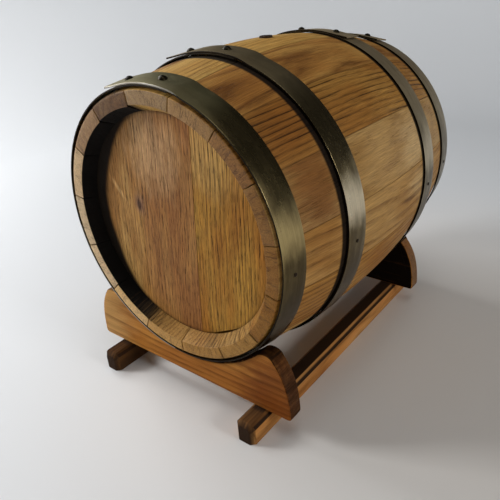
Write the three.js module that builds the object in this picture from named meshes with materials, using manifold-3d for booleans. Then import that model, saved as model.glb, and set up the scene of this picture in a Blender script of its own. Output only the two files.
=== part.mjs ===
// Ten litre oak wine barrel lying on a softwood stand. Millimetres, +Z up.
// The barrel axis runs along Y and the front head faces -Y. The origin is on the
// floor, under the middle of the whole object. Barrel stations are measured along
// the axis from the middle of the barrel and radii from its axis; angles around
// the barrel start at the top and grow towards +X.
import * as THREE from 'three';
import { mergeVertices } from 'three/addons/utils/BufferGeometryUtils.js';
import Module from 'manifold-3d';

const wasm = await Module();
wasm.setup();

// ---- driving dimensions -------------------------------------------------
const CLEARANCE = 0.3; // between pieces that meet
const AXIS_Z = 163; // barrel axis above the floor
const BARREL_Y = 9.5; // middle of the barrel along Y

// barrel shell
const BARREL_LENGTH = 311;
const BILGE_RADIUS = 133;
const END_RADIUS = 114.6;
const WALL_AT_BILGE = 16;
// how much of the barrel's girth each stave covers, in degrees; no two are alike
const STAVE_ANGLES = [23, 22.2, 22.1, 22.6, 21.8, 25.2, 25.2, 25.9, 23.7, 25.1, 23.9, 25.5, 25.5, 25.5, 22.8];
const FIRST_JOINT_ANGLE = -9.1; // left edge of the first stave, which takes the bung
const BUNG_STAVE = 0;

// chime (the bevelled lip past the head) and croze (the groove for the head)
const CHIME_DEPTH = 12.7;
const CHIME_LIP_RADIUS = 103.9;
const CHIME_ROOT_RADIUS = 97.2;
const CROZE_WIDTH = 5;
const CROZE_RADIUS = 101.2;
const INSIDE_END_RADIUS = 98.5;

// heads
const HEAD_THICKNESS = 13;
const HEAD_BEVEL_RADIUS = 90;
const HEAD_EDGE_GAP = 0.4; // between the head and the bottom of the croze
const HEAD_TONGUE_STEP = 1.5; // the tongue ends this far inside the staves
const HEAD_TILT = 4.6; // degrees, the boards lean a little
const HEAD_SEAMS = [-40, 24];
const DOWEL_RADIUS = 3;
const DOWEL_LENGTH = 30;
const DOWEL_HEIGHTS = [-48, 48];

// hoops: riveted steel strips
const HOOP_WIDTH = 24;
const HOOP_THICKNESS = 1.3;
const HEAD_HOOP_STATION = 154.8; // head-ward edge
const QUARTER_HOOP_STATION = 84.3;
const HEAD_HOOP_FLARE = 1.9; // the head-ward edge stands off the staves
const QUARTER_HOOP_FLARE = 1.1;
const LAP_OUTER_ANGLE = -20; // free outer end
const LAP_INNER_ANGLE = 13; // hidden inner end
const LAP_DROP = 7; // degrees in which the outer layer comes down to the staves
const LAP_LIFT = 1.6; // how far the free end is sprung up
const LAP_LIFT_ANGLE = 8;
const LAYER_GAP = 0.2; // between the two layers of the lap
const HOLE_SLACK = 0.2; // round a rivet, a nail or a dowel
const RIVET_ANGLES = [-12, 5.4];
const RIVET_HEAD_RADIUS = 2.9;
const RIVET_HEAD_HEIGHT = 2.3;
const RIVET_SHANK_RADIUS = 1.5;
const RIVET_SEAT = 0.15; // under the head
const NAIL_ANGLE = 93.4;
const NAIL_HEAD_RADIUS = 1.7;
const NAIL_HEAD_HEIGHT = 0.6;
const NAIL_SHANK_RADIUS = 0.8;
const NAIL_LENGTH = 12;
const NAIL_POINT = 2;
const NAIL_SEAT = 0.1;

// bung
const BUNG_Y = BARREL_Y - 4;
const BUNG_TOP_RADIUS = 6;
const BUNG_TIP_RADIUS = 5;
const BUNG_LENGTH = 22;
const BUNG_PROUD = 1.6;

// stand
const STAND_X = -2; // the stand sits a little to the left of the barrel
const RAIL_SPACING = 172;
const RAIL_WIDTH = 19.5;
const RAIL_HEIGHT = 20;
const RAIL_LENGTH = 302;
const RAIL_Y = -14;
const RAIL_CHAMFER = 4;
const CRADLE_HALF_WIDTH = 118;
const CRADLE_THICKNESS = 15;
const CRADLE_HEIGHT = 59; // foot to the top of the horns
const CRADLE_BOTTOM = RAIL_HEIGHT + 0.2;
const HORN_FOOT_RADIUS = 4; // bottom corners
const HORN_BROW = { inward: 14.5, height: 54 }; // where the side turns into the top
const HORN_SIDE = [{ inward: 0.5, height: 25 }, { inward: 4, height: 41 }]; // curve handles
const HORN_TOP = { inward: 18, height: 61 };
const HORN_DROP = 2.6; // from the top of the horns to the saddle's edge
const HORN_RISE = 3; // length of the handle at the saddle's edge
const FRONT_CRADLE_Y = -134.5; // middle of the board
const REAR_CRADLE_Y = 106.5;
const FRONT_SADDLE_RADIUS = 122.5;
const REAR_SADDLE_RADIUS = 127.4;
const FRONT_SADDLE_Z = AXIS_Z + 1.6;
const REAR_SADDLE_Z = AXIS_Z + 0.2;
const SCREW_RADIUS = 2;
const SCREW_HEAD_RADIUS = 4;
const SCREW_LENGTH = 40;
const SCREW_RECESS = 1;
const SCREW_POINT = 4;

// ---- colours ------------------------------------------------------------
const FINISH = {
  oak: { color: 0xa9773a, roughness: 0.55, metalness: 0 },
  head: { color: 0xa06a34, roughness: 0.55, metalness: 0 },
  hoop: { color: 0x5b5138, roughness: 0.42, metalness: 1 },
  fixing: { color: 0x3a3426, roughness: 0.5, metalness: 1 },
  stand: { color: 0x7a4520, roughness: 0.6, metalness: 0 },
  bung: { color: 0x8a6a40, roughness: 0.7, metalness: 0 },
  dowel: { color: 0xc09a62, roughness: 0.7, metalness: 0 },
};

const group = new THREE.Group();
const radians = THREE.MathUtils.degToRad;

function add(name, geometry, finish) {
  const mesh = new THREE.Mesh(geometry, new THREE.MeshStandardMaterial(FINISH[finish]));
  mesh.name = name;
  group.add(mesh);
  return mesh;
}

// ---- solids -------------------------------------------------------------
function solid(geometry) {
  const bare = geometry.clone();
  bare.deleteAttribute('normal');
  bare.deleteAttribute('uv');
  const merged = mergeVertices(bare, 1e-4);
  const vertProperties = new Float32Array(merged.attributes.position.array);
  const triVerts = new Uint32Array(merged.index.array);
  return new wasm.Manifold(new wasm.Mesh({ numProp: 3, vertProperties, triVerts }));
}

function geometryOf(manifold) {
  const mesh = manifold.getMesh();
  const geometry = new THREE.BufferGeometry();
  geometry.setAttribute('position', new THREE.BufferAttribute(new Float32Array(mesh.vertProperties), 3));
  geometry.setIndex(new THREE.BufferAttribute(new Uint32Array(mesh.triVerts), 1));
  geometry.computeVertexNormals();
  return geometry;
}

function cut(geometry, ...cutters) {
  let body = solid(geometry);
  for (const cutter of cutters) body = body.subtract(solid(cutter));
  return geometryOf(body);
}

function signedVolume(position, index) {
  const [a, b, c] = [new THREE.Vector3(), new THREE.Vector3(), new THREE.Vector3()];
  let volume = 0;
  for (let i = 0; i < index.length; i += 3) {
    a.fromArray(position, index[i] * 3);
    b.fromArray(position, index[i + 1] * 3);
    c.fromArray(position, index[i + 2] * 3);
    volume += a.dot(b.cross(c)) / 6;
  }
  return volume;
}

// A closed body through a row of matching sections; each section is a list of
// Vector3 and the end sections are capped with the given triangles.
function loft(sections, cap) {
  const count = sections[0].length;
  const position = sections.flat().flatMap((p) => [p.x, p.y, p.z]);
  const index = [];
  for (let s = 0; s + 1 < sections.length; s += 1) {
    for (let i = 0; i < count; i += 1) {
      const j = (i + 1) % count;
      const [p, q] = [s * count, (s + 1) * count];
      index.push(p + i, q + i, q + j, p + i, q + j, p + j);
    }
  }
  const last = (sections.length - 1) * count;
  for (const [i, j, k] of cap) {
    index.push(i, j, k);
    index.push(last + i, last + k, last + j);
  }
  if (signedVolume(position, index) < 0) index.reverse();
  const geometry = new THREE.BufferGeometry();
  geometry.setAttribute('position', new THREE.Float32BufferAttribute(position, 3));
  geometry.setIndex(index);
  geometry.computeVertexNormals();
  return geometry;
}

function capOf(outline) {
  return THREE.ShapeUtils.triangulateShape(outline, []);
}

// Outline in (radius, station), anticlockwise, turned about the barrel axis.
function turnedSector(outline, startAngle, endAngle, segments) {
  const sections = [];
  for (let i = 0; i <= segments; i += 1) {
    const angle = radians(THREE.MathUtils.lerp(startAngle, endAngle, i / segments));
    sections.push(outline.map((p) => new THREE.Vector3(p.x * Math.sin(angle), p.y, p.x * Math.cos(angle))));
  }
  return loft(sections, capOf(outline));
}

// Profile as [radius, height] pairs that start and end on the axis.
function turned(profile, segments) {
  const points = profile.map(([r, y]) => new THREE.Vector2(r, y));
  return geometryOf(solid(new THREE.LatheGeometry(points, segments)));
}

function cylinder(radius, length, segments = 16) {
  return new THREE.CylinderGeometry(radius, radius, length, segments);
}

// ---- barrel profile -----------------------------------------------------
const HALF_LENGTH = BARREL_LENGTH / 2;
const HEAD_FACE = HALF_LENGTH - CHIME_DEPTH; // station of a head's outer face
const HEAD_BACK = HEAD_FACE - HEAD_THICKNESS;

function outerRadius(station) {
  const t = station / HALF_LENGTH;
  return BILGE_RADIUS - (BILGE_RADIUS - END_RADIUS) * t * t;
}

function innerRadius(station) {
  const t = station / HEAD_BACK;
  const bilge = BILGE_RADIUS - WALL_AT_BILGE;
  return Math.max(bilge - (bilge - INSIDE_END_RADIUS) * t * t, INSIDE_END_RADIUS);
}

function staveOutline() {
  const outline = [];
  const outside = 12;
  for (let i = 0; i <= outside; i += 1) {
    const station = THREE.MathUtils.lerp(-HALF_LENGTH, HALF_LENGTH, i / outside);
    outline.push(new THREE.Vector2(outerRadius(station), station));
  }
  const croze = HEAD_FACE - CROZE_WIDTH;
  outline.push(new THREE.Vector2(CHIME_LIP_RADIUS, HALF_LENGTH));
  outline.push(new THREE.Vector2(CHIME_ROOT_RADIUS, HEAD_FACE));
  outline.push(new THREE.Vector2(CROZE_RADIUS, HEAD_FACE));
  outline.push(new THREE.Vector2(CROZE_RADIUS, croze));
  const inside = 8;
  for (let i = 0; i <= inside; i += 1) {
    const station = THREE.MathUtils.lerp(croze, -croze, i / inside);
    outline.push(new THREE.Vector2(innerRadius(station), station));
  }
  outline.push(new THREE.Vector2(CROZE_RADIUS, -croze));
  outline.push(new THREE.Vector2(CROZE_RADIUS, -HEAD_FACE));
  outline.push(new THREE.Vector2(CHIME_ROOT_RADIUS, -HEAD_FACE));
  outline.push(new THREE.Vector2(CHIME_LIP_RADIUS, -HALF_LENGTH));
  return outline;
}

// A cutter or piece modelled along its own Y axis, outer end up, set on the
// barrel surface: radius, station and angle place its origin, lean follows the
// slope of the surface.
function onBarrel(geometry, radius, station, angle, lean = 0) {
  const place = new THREE.Matrix4().makeTranslation(0, BARREL_Y, AXIS_Z);
  place.multiply(new THREE.Matrix4().makeRotationY(radians(angle)));
  place.multiply(new THREE.Matrix4().makeTranslation(0, station, radius));
  place.multiply(new THREE.Matrix4().makeRotationX(Math.PI / 2 - lean));
  return geometry.clone().applyMatrix4(place);
}

// ---- hoops --------------------------------------------------------------
// Every hoop is described for the front end; the rear ones are the same hoops
// turned end for end about the vertical.
function hoopRadii(station, flare) {
  const bilgeEdge = station - HOOP_WIDTH;
  return {
    headWard: outerRadius(station) + CLEARANCE + flare,
    bilgeWard: outerRadius(bilgeEdge) + CLEARANCE,
  };
}

function lapOffset(angle) {
  const layer = HOOP_THICKNESS + LAYER_GAP;
  const pastInnerEnd = LAP_INNER_ANGLE + 1;
  const drop = THREE.MathUtils.smoothstep(angle, pastInnerEnd, LAP_INNER_ANGLE + LAP_DROP);
  const lift = Math.max(0, 1 - (angle - LAP_OUTER_ANGLE) / LAP_LIFT_ANGLE);
  return layer * (1 - drop) + LAP_LIFT * lift * lift;
}

function hoopSection(radii, station, angle, offset) {
  const bilgeEdge = station - HOOP_WIDTH;
  const corner = (radius, y) => {
    const a = radians(angle);
    return new THREE.Vector3(radius * Math.sin(a), -y, radius * Math.cos(a));
  };
  const [r0, r1] = [radii.headWard + offset, radii.bilgeWard + offset];
  return [
    corner(r0, station),
    corner(r1, bilgeEdge),
    corner(r1 + HOOP_THICKNESS, bilgeEdge),
    corner(r0 + HOOP_THICKNESS, station),
  ];
}

function hoopStrip(radii, station) {
  const sections = [];
  const lapSteps = 14;
  const settled = LAP_INNER_ANGLE + LAP_DROP;
  for (let i = 0; i <= lapSteps; i += 1) {
    const angle = THREE.MathUtils.lerp(LAP_OUTER_ANGLE, settled, i / lapSteps);
    sections.push(hoopSection(radii, station, angle, lapOffset(angle)));
  }
  const roundSteps = 60;
  for (let i = 1; i <= roundSteps; i += 1) {
    const angle = THREE.MathUtils.lerp(settled, 360 + LAP_INNER_ANGLE, i / roundSteps);
    sections.push(hoopSection(radii, station, angle, 0));
  }
  return loft(sections, [[0, 1, 2], [0, 2, 3]]);
}

function hoopLean(radii) {
  return Math.atan2(radii.bilgeWard - radii.headWard, HOOP_WIDTH);
}

function rivet() {
  const layers = 2 * HOOP_THICKNESS + LAYER_GAP;
  const profile = [[0, -layers], [RIVET_SHANK_RADIUS, -layers], [RIVET_SHANK_RADIUS, RIVET_SEAT]];
  const steps = 4;
  for (let i = 0; i < steps; i += 1) {
    const t = (i / steps) * (Math.PI / 2);
    profile.push([RIVET_HEAD_RADIUS * Math.cos(t), RIVET_SEAT + RIVET_HEAD_HEIGHT * Math.sin(t)]);
  }
  profile.push([0, RIVET_SEAT + RIVET_HEAD_HEIGHT]);
  return turned(profile, 12);
}

function nail() {
  const top = NAIL_SEAT + NAIL_HEAD_HEIGHT;
  const crown = NAIL_HEAD_RADIUS * 0.7;
  return turned([
    [0, -NAIL_LENGTH],
    [NAIL_SHANK_RADIUS, NAIL_POINT - NAIL_LENGTH],
    [NAIL_SHANK_RADIUS, NAIL_SEAT],
    [NAIL_HEAD_RADIUS, NAIL_SEAT],
    [crown, top],
    [0, top],
  ], 10);
}

// end: -1 front, +1 rear. The rear pieces are turned half round the vertical
// line through the middle of the barrel.
function faceEnd(geometry, end) {
  if (end < 0) return geometry;
  const turn = new THREE.Matrix4().makeTranslation(0, BARREL_Y, 0);
  turn.multiply(new THREE.Matrix4().makeRotationZ(Math.PI));
  turn.multiply(new THREE.Matrix4().makeTranslation(0, -BARREL_Y, 0));
  return geometry.clone().applyMatrix4(turn);
}

function toBarrel(geometry) {
  return geometry.clone().applyMatrix4(new THREE.Matrix4().makeTranslation(0, BARREL_Y, AXIS_Z));
}

// Adds one hoop with its rivets and its nail, and gives back the cutter that
// makes room for the nail in the stave.
function hoopSet(name, station, flare, end) {
  const radii = hoopRadii(station, flare);
  const lean = hoopLean(radii);
  const middle = station - HOOP_WIDTH / 2;
  const skin = (radii.headWard + radii.bilgeWard) / 2 + HOOP_THICKNESS;
  const lapped = skin + HOOP_THICKNESS + LAYER_GAP;
  const nailAngle = end < 0 ? NAIL_ANGLE : -NAIL_ANGLE;
  const punch = 8 * HOOP_THICKNESS;
  const rivetHole = cylinder(RIVET_SHANK_RADIUS + HOLE_SLACK, punch, 12);
  const nailHole = cylinder(NAIL_SHANK_RADIUS + HOLE_SLACK, punch, 10);
  const holes = RIVET_ANGLES.map((angle) => onBarrel(rivetHole, lapped, -middle, angle, -lean));
  holes.push(onBarrel(nailHole, skin, -middle, nailAngle, -lean));
  const strip = toBarrel(hoopStrip(radii, station));
  add(`${name}_hoop`, faceEnd(cut(strip, ...holes), end), 'hoop');
  RIVET_ANGLES.forEach((angle, i) => {
    const piece = onBarrel(rivet(), lapped, -middle, angle, -lean);
    add(`${name}_hoop_rivet_${i + 1}`, faceEnd(piece, end), 'fixing');
  });
  add(`${name}_hoop_nail`, faceEnd(onBarrel(nail(), skin, -middle, nailAngle, -lean), end), 'fixing');
  const pilot = cylinder(NAIL_SHANK_RADIUS + CLEARANCE, 2 * (NAIL_LENGTH + 1), 10);
  return faceEnd(onBarrel(pilot, skin, -middle, nailAngle, -lean), end);
}

// ---- staves -------------------------------------------------------------
function bungCutter() {
  const slope = (BUNG_TOP_RADIUS - BUNG_TIP_RADIUS) / BUNG_LENGTH;
  const reach = 10;
  const cutter = new THREE.CylinderGeometry(
    BUNG_TOP_RADIUS + CLEARANCE + slope * reach,
    BUNG_TIP_RADIUS + CLEARANCE - slope * reach,
    BUNG_LENGTH + 2 * reach,
    24,
  );
  cutter.rotateX(Math.PI / 2);
  cutter.translate(0, BUNG_Y, AXIS_Z + BILGE_RADIUS + BUNG_PROUD - BUNG_LENGTH / 2);
  return cutter;
}

function addStaves(nailCutters) {
  const outline = staveOutline();
  const inset = THREE.MathUtils.radToDeg(CLEARANCE / 2 / BILGE_RADIUS);
  let start = FIRST_JOINT_ANGLE;
  STAVE_ANGLES.forEach((width, i) => {
    let stave = toBarrel(turnedSector(outline, start + inset, start + width - inset, 3));
    if (i === BUNG_STAVE) stave = cut(stave, bungCutter());
    const nailed = start < NAIL_ANGLE && NAIL_ANGLE < start + width;
    if (nailed) stave = cut(stave, ...nailCutters);
    add(`stave_${String(i + 1).padStart(2, '0')}`, stave, 'oak');
    start += width;
  });
}

// ---- heads --------------------------------------------------------------
function headDisc() {
  const tongue = HEAD_FACE - CROZE_WIDTH + CLEARANCE;
  const face = HEAD_FACE - CLEARANCE / 2;
  const edge = CROZE_RADIUS - HEAD_EDGE_GAP;
  const shoulder = INSIDE_END_RADIUS - HEAD_TONGUE_STEP;
  return turned([
    [0, -face],
    [edge, -face],
    [edge, -tongue],
    [shoulder, -tongue],
    [HEAD_BEVEL_RADIUS, -HEAD_BACK],
    [0, -HEAD_BACK],
  ], 60);
}

function addHead(name, end) {
  const disc = headDisc();
  const beyond = END_RADIUS;
  const limits = [-beyond, ...HEAD_SEAMS, beyond];
  const depth = -(HEAD_FACE + HEAD_BACK) / 2;
  const tilt = new THREE.Matrix4().makeRotationY(radians(HEAD_TILT));
  const place = (geometry) => faceEnd(toBarrel(geometry.clone().applyMatrix4(tilt)), end);
  const holes = HEAD_SEAMS.flatMap((x) => DOWEL_HEIGHTS.map((z) => {
    const hole = cylinder(DOWEL_RADIUS + HOLE_SLACK, DOWEL_LENGTH + 2, 12);
    return hole.rotateZ(Math.PI / 2).translate(x, depth, z);
  }));
  for (let i = 0; i + 1 < limits.length; i += 1) {
    const [from, to] = [limits[i], limits[i + 1]];
    const slab = new THREE.BoxGeometry(to - from - CLEARANCE, 2 * HEAD_THICKNESS, 2 * beyond);
    slab.translate((from + to) / 2, depth, 0);
    let board = solid(disc).intersect(solid(slab));
    for (const hole of holes) board = board.subtract(solid(hole));
    add(`${name}_head_board_${i + 1}`, place(geometryOf(board)), 'head');
  }
  HEAD_SEAMS.forEach((x, i) => DOWEL_HEIGHTS.forEach((z, j) => {
    const dowel = cylinder(DOWEL_RADIUS, DOWEL_LENGTH, 12).rotateZ(Math.PI / 2).translate(x, depth, z);
    add(`${name}_head_dowel_${i * DOWEL_HEIGHTS.length + j + 1}`, place(dowel), 'dowel');
  }));
}

function addBung() {
  const bung = new THREE.CylinderGeometry(BUNG_TOP_RADIUS, BUNG_TIP_RADIUS, BUNG_LENGTH, 24);
  bung.rotateX(Math.PI / 2);
  bung.translate(0, BUNG_Y, AXIS_Z + BILGE_RADIUS + BUNG_PROUD - BUNG_LENGTH / 2);
  add('bung', bung, 'bung');
}

// ---- stand --------------------------------------------------------------
// A board with two rounded horns and a saddle for the barrel between them.
function cradleOutline(saddleRadius, saddleZ) {
  const shape = new THREE.Shape();
  const z = (height) => CRADLE_BOTTOM + height;
  const [left, right] = [STAND_X - CRADLE_HALF_WIDTH, STAND_X + CRADLE_HALF_WIDTH];
  const foot = HORN_FOOT_RADIUS;
  const [low, high] = HORN_SIDE;
  const brow = HORN_BROW;
  const top = HORN_TOP;
  // the saddle runs out into the horns just under their tops
  const meetZ = z(CRADLE_HEIGHT - HORN_DROP);
  const meet = Math.sqrt(saddleRadius ** 2 - (saddleZ - meetZ) ** 2);
  const meetAngle = Math.atan2(meetZ - saddleZ, meet);
  const handleX = meet + (HORN_RISE * (saddleZ - meetZ)) / meet;
  const handleZ = meetZ + HORN_RISE;
  shape.moveTo(left + foot, z(0));
  shape.lineTo(right - foot, z(0));
  shape.quadraticCurveTo(right, z(0), right, z(foot));
  shape.bezierCurveTo(
    ...[right - low.inward, z(low.height)],
    ...[right - high.inward, z(high.height)],
    ...[right - brow.inward, z(brow.height)],
  );
  shape.bezierCurveTo(right - top.inward, z(top.height), handleX, handleZ, meet, meetZ);
  shape.absarc(0, saddleZ, saddleRadius, meetAngle, -Math.PI - meetAngle, true);
  shape.bezierCurveTo(
    ...[-handleX, handleZ],
    ...[left + top.inward, z(top.height)],
    ...[left + brow.inward, z(brow.height)],
  );
  shape.bezierCurveTo(
    ...[left + high.inward, z(high.height)],
    ...[left + low.inward, z(low.height)],
    ...[left, z(foot)],
  );
  shape.quadraticCurveTo(left, z(0), left + foot, z(0));
  return shape;
}

function railXs() {
  return [STAND_X - RAIL_SPACING / 2, STAND_X + RAIL_SPACING / 2];
}

// A countersunk screw driven up through a rail; with some growth, its hole.
function screwShape(grow) {
  const top = SCREW_RECESS + SCREW_LENGTH;
  const neck = SCREW_RECESS + SCREW_HEAD_RADIUS - SCREW_RADIUS;
  const base = grow > 0 ? -SCREW_RECESS : SCREW_RECESS;
  const head = SCREW_HEAD_RADIUS + grow;
  return turned([
    [0, base],
    [head, base],
    [head, SCREW_RECESS + grow],
    [SCREW_RADIUS + grow, neck + grow],
    [SCREW_RADIUS + grow, top - SCREW_POINT],
    [0, top + grow],
  ], 12).rotateX(Math.PI / 2);
}

function cradle(y, saddleRadius, saddleZ) {
  const board = new THREE.ExtrudeGeometry(cradleOutline(saddleRadius, saddleZ), {
    depth: CRADLE_THICKNESS,
    bevelEnabled: false,
    curveSegments: 14,
  });
  board.rotateX(Math.PI / 2).translate(0, y + CRADLE_THICKNESS / 2, 0);
  const holes = railXs().map((x) => screwShape(CLEARANCE).translate(x, y, 0));
  return cut(board, ...holes);
}

function rail(x) {
  const half = RAIL_WIDTH / 2;
  const c = RAIL_CHAMFER;
  const fan = 0.4; // how much the top face narrows into the end chamfer
  const section = (y, inset) => [
    new THREE.Vector3(x - half + inset, y, 0),
    new THREE.Vector3(x + half - inset, y, 0),
    new THREE.Vector3(x + half - inset, y, RAIL_HEIGHT - c - inset),
    new THREE.Vector3(x + half - c - inset * fan, y, RAIL_HEIGHT - inset),
    new THREE.Vector3(x - half + c + inset * fan, y, RAIL_HEIGHT - inset),
    new THREE.Vector3(x - half + inset, y, RAIL_HEIGHT - c - inset),
  ];
  const [front, rear] = [RAIL_Y - RAIL_LENGTH / 2, RAIL_Y + RAIL_LENGTH / 2];
  const sections = [section(front, c), section(front + c, 0), section(rear - c, 0), section(rear, c)];
  const bar = loft(sections, [[0, 1, 2], [0, 2, 3], [0, 3, 4], [0, 4, 5]]);
  const holes = [FRONT_CRADLE_Y, REAR_CRADLE_Y].map((y) => screwShape(CLEARANCE).translate(x, y, 0));
  return cut(bar, ...holes);
}

function addStand() {
  add('front_cradle', cradle(FRONT_CRADLE_Y, FRONT_SADDLE_RADIUS, FRONT_SADDLE_Z), 'stand');
  add('rear_cradle', cradle(REAR_CRADLE_Y, REAR_SADDLE_RADIUS, REAR_SADDLE_Z), 'stand');
  const [leftX, rightX] = railXs();
  add('left_rail', rail(leftX), 'stand');
  add('right_rail', rail(rightX), 'stand');
  for (const [end, y] of [['front', FRONT_CRADLE_Y], ['rear', REAR_CRADLE_Y]]) {
    for (const [side, x] of [['left', leftX], ['right', rightX]]) {
      add(`${end}_${side}_screw`, screwShape(0).translate(x, y, 0), 'fixing');
    }
  }
}

// ---- assembly -----------------------------------------------------------
const nailCutters = [];
for (const [side, end] of [['front', -1], ['rear', 1]]) {
  nailCutters.push(hoopSet(`${side}_head`, HEAD_HOOP_STATION, HEAD_HOOP_FLARE, end));
  nailCutters.push(hoopSet(`${side}_quarter`, QUARTER_HOOP_STATION, QUARTER_HOOP_FLARE, end));
}
addStaves(nailCutters);
addHead('front', -1);
addHead('rear', 1);
addBung();
addStand();

export default group;
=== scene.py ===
import random
from math import atan2, cos, degrees, hypot, pi, radians, remainder, sin, sqrt, tau

import bpy
from mathutils import Matrix, Vector, noise


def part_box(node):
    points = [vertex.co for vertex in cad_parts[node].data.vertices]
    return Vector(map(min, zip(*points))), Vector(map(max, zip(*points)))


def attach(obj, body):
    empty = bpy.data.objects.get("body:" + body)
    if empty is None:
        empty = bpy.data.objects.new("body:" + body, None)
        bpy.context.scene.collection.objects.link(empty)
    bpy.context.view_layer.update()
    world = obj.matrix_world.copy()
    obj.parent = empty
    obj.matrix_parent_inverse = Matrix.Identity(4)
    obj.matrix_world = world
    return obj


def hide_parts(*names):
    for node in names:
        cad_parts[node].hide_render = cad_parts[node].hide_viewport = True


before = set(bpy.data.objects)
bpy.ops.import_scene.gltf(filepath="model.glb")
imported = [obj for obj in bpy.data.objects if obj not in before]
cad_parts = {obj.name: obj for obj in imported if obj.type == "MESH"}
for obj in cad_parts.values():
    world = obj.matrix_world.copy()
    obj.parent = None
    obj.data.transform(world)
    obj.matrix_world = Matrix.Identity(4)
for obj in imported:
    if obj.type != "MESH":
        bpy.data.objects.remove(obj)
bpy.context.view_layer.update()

MM = 0.001

# ---- what the frame says about the barrel ----
STAVES = [f"stave_{i + 1:02d}" for i in range(15)]
ENDS = {"front": -1, "rear": 1}
HOOPS = [f"{side}_{place}_hoop" for side in ENDS for place in ("head", "quarter")]


def box_of(names):
    boxes = [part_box(name) for name in names]
    low = Vector([min(box[0][i] for box in boxes) for i in range(3)])
    high = Vector([max(box[1][i] for box in boxes) for i in range(3)])
    return low, high


def corners_of(name):
    return [v.co.copy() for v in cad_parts[name].data.vertices]


HEAD_LOW, HEAD_HIGH = box_of([f"front_head_board_{i}" for i in (1, 2, 3)])
STAVE_LOW, STAVE_HIGH = box_of(STAVES)
AXIS_X = (HEAD_LOW.x + HEAD_HIGH.x) / 2
AXIS_Z = (HEAD_LOW.z + HEAD_HIGH.z) / 2
MIDDLE_Y = (STAVE_LOW.y + STAVE_HIGH.y) / 2
HALF_LENGTH = (STAVE_HIGH.y - STAVE_LOW.y) / 2


def around(point):
    """Angle from the top towards +X, station from the middle, radius from the axis."""
    x, z = point.x - AXIS_X, point.z - AXIS_Z
    return atan2(x, z), point.y - MIDDLE_Y, hypot(x, z)


def on_axis(angle, station, radius):
    return Vector((
        AXIS_X + radius * sin(angle),
        MIDDLE_Y + station,
        AXIS_Z + radius * cos(angle),
    ))


def radii_at(names, y):
    near = [p for name in names for p in corners_of(name) if abs(p.y - y) < 0.1 * MM]
    return [around(p)[2] for p in near]


INSIDE_CAD = 0.05 * MM  # how far the fine staves lie inside the CAD's at the bulge
BILGE_RADIUS = max(around(p)[2] for p in corners_of(STAVES[4])) - INSIDE_CAD
END_RADIUS = max(radii_at(STAVES[:1], STAVE_LOW.y))

# ---- sizes of the fine shapes ----
CHIME_DEPTH = 12.7 * MM  # from the rim in to the head
CHIME_LIP = 103.9 * MM  # inner radius at the rim
CHIME_ROOT = 97.2 * MM  # inner radius at the head
CROZE_WIDTH = 5 * MM
CROZE_RADIUS = 101.2 * MM
INSIDE_END = 98.5 * MM  # inner radius behind the head
WALL = 16 * MM  # at the bulge
HEAD_THICKNESS = 13 * MM
HEAD_TILT = radians(4.6)
HEAD_SEAMS = [-40 * MM, 24 * MM]
HEAD_RADIUS = 100.7 * MM
SHRUNK_AT, SHRUNK_SPAN, SHRUNK_BY = 32, 30, 5.2 * MM  # degrees from the foot of the head, and depth
ARRIS = 0.3 * MM  # rounding along the joints of staves and boards

HOOP_THICKNESS = 1.3 * MM
LAP_OUTER, LAP_INNER, LAP_DROP = -20, 13, 7  # degrees from the top
LAP_LIFT, LAP_LIFT_SPAN = 1.6 * MM, 8  # the outer end stands off, and over how many degrees
LAYER = 1.5 * MM  # how far the outer end lies over the inner one
HOOP_WOBBLE = 0.1 * MM
LAP_SIDES = 24  # degrees from the top within which the lap's edges carry a painted highlight
LIT_EDGE_FROM, LIT_EDGE_TO = -175, -98  # where the front hoop's forward edge carries a painted reflection of the bright backdrop

HEAD_FACE = HALF_LENGTH - CHIME_DEPTH
HEAD_BACK = HEAD_FACE - HEAD_THICKNESS


def mix(a, b, t):
    return a + (b - a) * t


def smooth(t):
    t = min(max(t, 0.0), 1.0)
    return t * t * (3 - 2 * t)


# ---- meshes ----
def rounded(corners, steps=4):
    """A 2-D outline from (x, y, radius) corners, each with its rounding."""
    points = []
    count = len(corners)
    for i, (x, y, radius) in enumerate(corners):
        here = Vector((x, y))
        if radius <= 0:
            points.append(here)
            continue
        before = Vector(corners[i - 1][:2]) - here
        after = Vector(corners[(i + 1) % count][:2]) - here
        reach = min(radius, before.length * 0.49, after.length * 0.49)
        start, end = here + before.normalized() * reach, here + after.normalized() * reach
        for step in range(steps + 1):
            t = step / steps
            points.append(start * (1 - t) ** 2 + here * 2 * t * (1 - t) + end * t * t)
    return points


def loft(loops):
    """Vertices and faces of a skin through matching loops, with capped ends."""
    count = len(loops[0])
    points = [p for loop in loops for p in loop]
    last = len(points) - count
    faces = []
    for a in range(0, last, count):
        b = a + count
        for i in range(count):
            j = (i + 1) % count
            faces.append((a + i, b + i, b + j, a + j))
    faces.append(tuple(range(count)))
    faces.append(tuple(reversed(range(last, last + count))))
    return points, faces


def outward(mesh):
    """Turns the faces of a closed mesh to point out."""
    volume = 0.0
    for face in mesh.polygons:
        a = mesh.vertices[face.vertices[0]].co
        for i in range(1, len(face.vertices) - 1):
            b = mesh.vertices[face.vertices[i]].co
            c = mesh.vertices[face.vertices[i + 1]].co
            volume += a.dot(b.cross(c))
    if volume < 0:
        mesh.flip_normals()


def placed(name, data):
    thing = bpy.data.objects.new(name, data)
    bpy.context.scene.collection.objects.link(thing)
    return thing


def skinned(name, points, faces):
    mesh = bpy.data.meshes.new(name)
    mesh.from_pydata([tuple(p) for p in points], [], faces)
    return placed(name, mesh)


def piece(name, shape, material, body, node, sharp=35):
    """A closed visible piece, which rides on a body and stands for a node of the CAD."""
    thing = skinned(name, *shape)
    mesh = thing.data
    mesh.validate()
    outward(mesh)
    mesh.shade_smooth()
    mesh.set_sharp_from_angle(angle=radians(sharp))
    mesh.materials.append(material)
    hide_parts(node)
    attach(thing, body)
    return thing


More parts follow.
